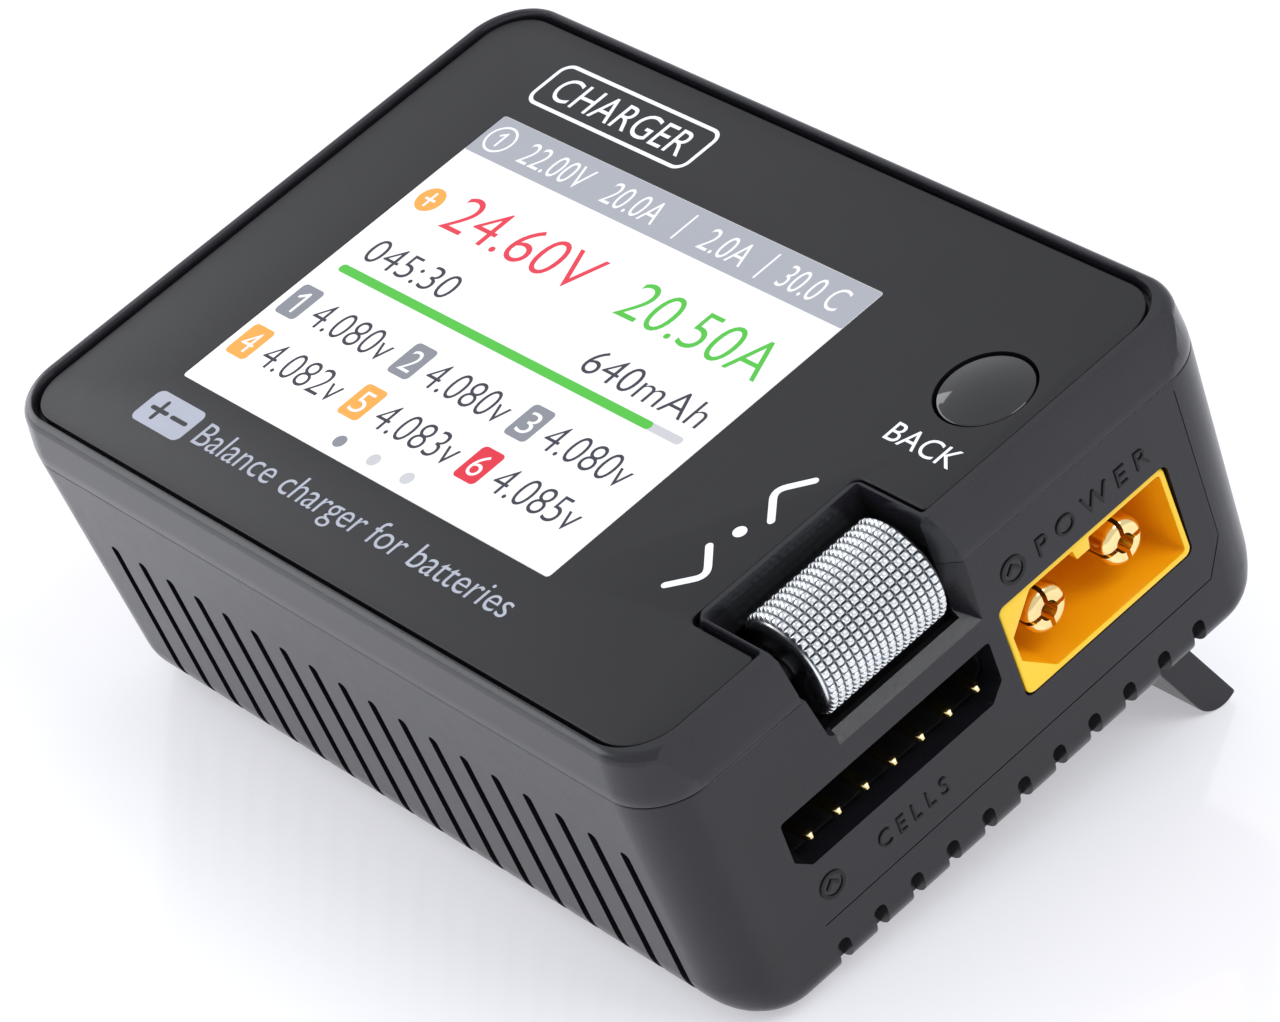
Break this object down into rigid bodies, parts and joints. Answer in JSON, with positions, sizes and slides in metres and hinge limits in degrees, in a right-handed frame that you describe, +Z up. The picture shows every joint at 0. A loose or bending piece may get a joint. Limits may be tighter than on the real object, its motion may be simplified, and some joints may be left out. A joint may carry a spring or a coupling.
{
  "type": "balance battery charger",
  "caption": "Compact balance charger with a screen, knurled scroll wheel, round button, power sockets, balance port, vent slots, cooling fan and fold-out kickstand.",
  "frame": {"origin": "on the ground under the middle of the whole charger, leaning back on its open kickstand", "axes": "+X along the long side of the screen towards the output end, +Y from the near edge to the raised far edge, +Z up"},
  "size_m": [0.072, 0.053, 0.0353],
  "materials": {
    "case_plastic": "fine satin texture",
    "panel_film": "matte printed film",
    "screen": "lit display, smooth",
    "black_plastic": "satin",
    "gloss_black": "polished",
    "yellow_nylon": "moulded, slightly glossy",
    "gold_contact": "gold plated",
    "steel": "plain",
    "wheel_metal": "knurled and bright",
    "heatsink_metal": "extruded",
    "circuit_board": "solder mask",
    "rubber": "soft",
    "ferrite": "sintered"
  },
  "bodies": {
    "case": {"balance_header": "black_plastic", "balance_pin_1": "gold_contact", "balance_pin_2": "gold_contact", "balance_pin_3": "gold_contact", "balance_pin_4": "gold_contact", "balance_pin_5": "gold_contact", "balance_pin_6": "gold_contact", "balance_pin_7": "gold_contact", "buzzer": "black_plastic", "capacitor_1": "heatsink_metal", "capacitor_2": "heatsink_metal", "case_screw_1": "steel", "case_screw_2": "steel", "case_screw_3": "steel", "case_screw_4": "steel", "display_board": "circuit_board", "display_bracket": "black_plastic", "display_module": "steel", "display_window": "screen", "exit_switch_body": "steel", "fan_housing": "black_plastic", "front_foot_left": "rubber", "front_foot_right": "rubber", "front_panel": "panel_film", "heatsink": "heatsink_metal", "hinge_pin_left": "steel", "hinge_pin_right": "steel", "inductor_1": "ferrite", "inductor_2": "ferrite", "input_pin_negative": "gold_contact", "input_pin_positive": "gold_contact", "input_socket": "yellow_nylon", "lower_shell": "case_plastic", "main_board": "circuit_board", "output_pin_negative": "gold_contact", "output_pin_positive": "gold_contact", "output_socket": "yellow_nylon", "upper_shell": "case_plastic", "usb_port_shell": "steel", "usb_port_tongue": "black_plastic", "wheel_switch_body": "steel"},
    "kickstand": {"kickstand": "case_plastic", "kickstand_grip_strip": "rubber"},
    "exit_button": {"exit_button": "gloss_black", "exit_switch_plunger": "black_plastic"},
    "wheel_carrier": {"wheel_cradle": "black_plastic", "wheel_encoder": "black_plastic", "wheel_switch_plunger": "black_plastic"},
    "scroll_wheel": {"scroll_wheel": "wheel_metal", "wheel_shaft": "steel"},
    "fan_rotor": {"fan_rotor": "black_plastic", "fan_shaft": "steel"}
  },
  "joints": [
    {"name": "kickstand_fold", "type": "hinge", "parent": "case", "child": "kickstand", "pos_m": [0.00005, 0.01758, 0.0097], "axis": [1, 0, 0], "range_deg": [-111.8, 0]},
    {"name": "exit_press", "type": "slide", "parent": "case", "child": "exit_button", "axis": [0, 0.2177, -0.976], "range_m": [0, 0.0004], "stiffness_N_per_m": 800, "springref_m": -0.0003},
    {"name": "wheel_press", "type": "slide", "parent": "case", "child": "wheel_carrier", "axis": [0, 0.2177, -0.976], "range_m": [0, 0.0004], "stiffness_N_per_m": 800, "springref_m": -0.0003},
    {"name": "wheel_turn", "type": "hinge", "parent": "wheel_carrier", "child": "scroll_wheel", "pos_m": [0.032, -0.00692, 0.02457], "axis": [0, 0.976, 0.2177], "continuous": true},
    {"name": "fan_spin", "type": "hinge", "parent": "case", "child": "fan_rotor", "pos_m": [-0.009, -0.00283, 0.01314], "axis": [0, -0.2177, 0.976], "continuous": true}
  ]
}
